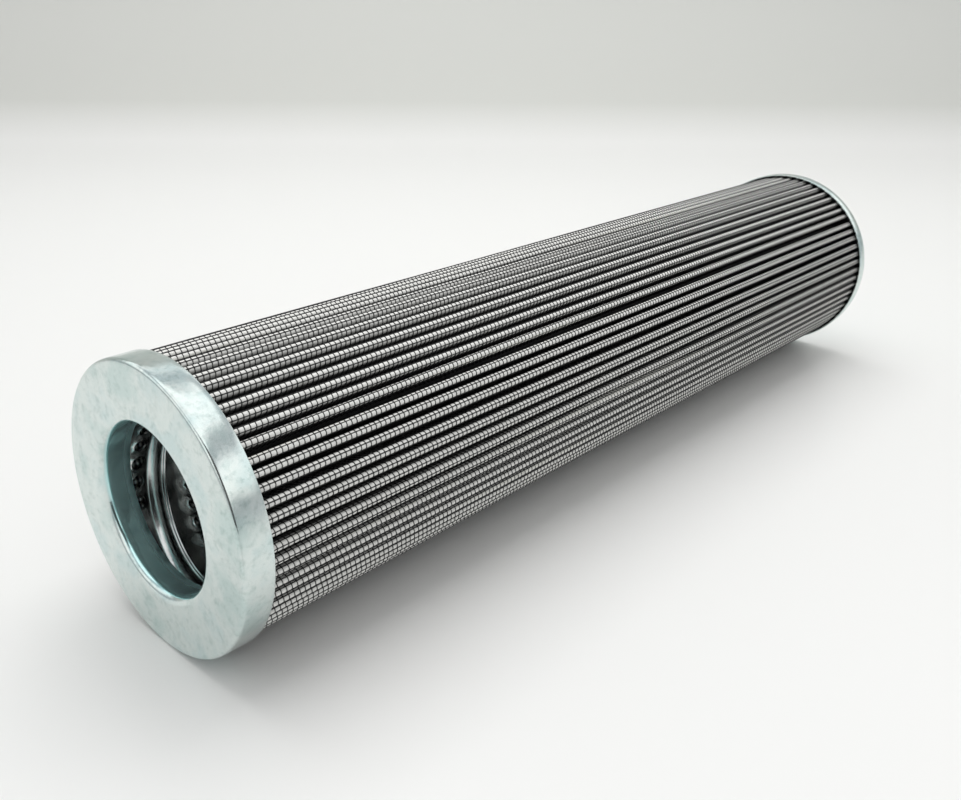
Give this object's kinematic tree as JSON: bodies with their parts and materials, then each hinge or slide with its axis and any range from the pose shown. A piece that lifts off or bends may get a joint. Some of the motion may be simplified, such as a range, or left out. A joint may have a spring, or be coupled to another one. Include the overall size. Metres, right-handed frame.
{
  "type": "pleated filter element",
  "caption": "Cylindrical pleated filter cartridge: folded media under black wire cloth round a perforated tube, with pressed zinc-plated caps, one with a collared hole and one closed.",
  "frame": {"origin": "middle of the closed cap's outer face", "axes": "+Z along the element's axis from the closed end to the open end; +X through the top of one fold"},
  "size_m": [0.077, 0.077, 0.334],
  "materials": {
    "zinc_plate": "blue-white passivated zinc plate, satin",
    "adhesive": "cured dark adhesive, matt",
    "tube_steel": "galvanised strip, satin",
    "black_wire": "black epoxy-coated wire cloth",
    "plain_wire": "plain wire cloth",
    "fleece": "soft pale non-woven",
    "glass_media": "soft white glass fibre sheet"
  },
  "bodies": {
    "root": {"closed_end_adhesive": "adhesive", "closed_end_cap": "zinc_plate", "core_tube": "tube_steel", "glass_fibre_media": "glass_media", "inner_fleece": "fleece", "inner_wire_mesh": "plain_wire", "open_end_adhesive": "adhesive", "open_end_cap": "zinc_plate", "outer_fleece": "fleece", "outer_wire_mesh": "black_wire", "side_seam_bead": "adhesive"}
  },
  "joints": []
}
